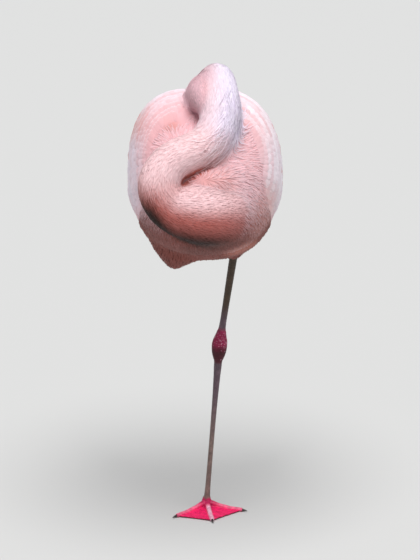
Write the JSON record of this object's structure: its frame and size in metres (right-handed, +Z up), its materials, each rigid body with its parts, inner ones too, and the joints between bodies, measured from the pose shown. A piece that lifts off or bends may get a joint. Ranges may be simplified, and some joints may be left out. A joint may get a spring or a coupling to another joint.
{
  "type": "flamingo",
  "caption": "Life-size model of a pink flamingo asleep on one leg, neck looped over its breast, head laid back and the other leg drawn up under the belly.",
  "frame": {"origin": "the sole of the standing foot, on the floor under the joint where its toes meet", "axes": "+Z up, the breast faces -Y and the tail +Y, the bird's left side is +X"},
  "size_m": [0.2378, 0.4784, 0.7229],
  "materials": {
    "plumage": "matte feathers",
    "neck_plumage": "matte feathers",
    "wing_plumage": "matte feathers",
    "flight_feathers": "satin black feathers",
    "leg_skin": "scaled skin, satin",
    "joint_skin": "scaled skin, satin",
    "web_skin": "fine scaled skin, satin",
    "bill_horn": "smooth horn, satin",
    "bill_black": "smooth horn, satin",
    "claw_horn": "horn, satin",
    "eye": "gloss"
  },
  "bodies": {
    "root": {"neck_1": "neck_plumage", "neck_2": "neck_plumage", "neck_3": "neck_plumage", "neck_4": "neck_plumage", "neck_5": "neck_plumage", "head": "plumage", "trunk": "plumage", "thigh_left": "plumage", "thigh_right": "plumage", "tail": "plumage", "wing_left": "wing_plumage", "primaries_left": "flight_feathers", "eye_left": "eye", "shank_left": "leg_skin", "tibia_left": "leg_skin", "ankle_left": "joint_skin", "wing_right": "wing_plumage", "primaries_right": "flight_feathers", "eye_right": "eye", "shank_right": "leg_skin", "tibia_right": "leg_skin", "ankle_right": "joint_skin", "bill_upper": "bill_horn", "bill_lower": "bill_black", "toe_hind": "leg_skin", "foot_pad": "joint_skin", "toe_inner": "web_skin", "claw_inner": "claw_horn", "toe_middle": "web_skin", "claw_middle": "claw_horn", "toe_outer": "web_skin", "claw_outer": "claw_horn", "web_inner": "web_skin", "web_outer": "web_skin"}
  },
  "joints": []
}
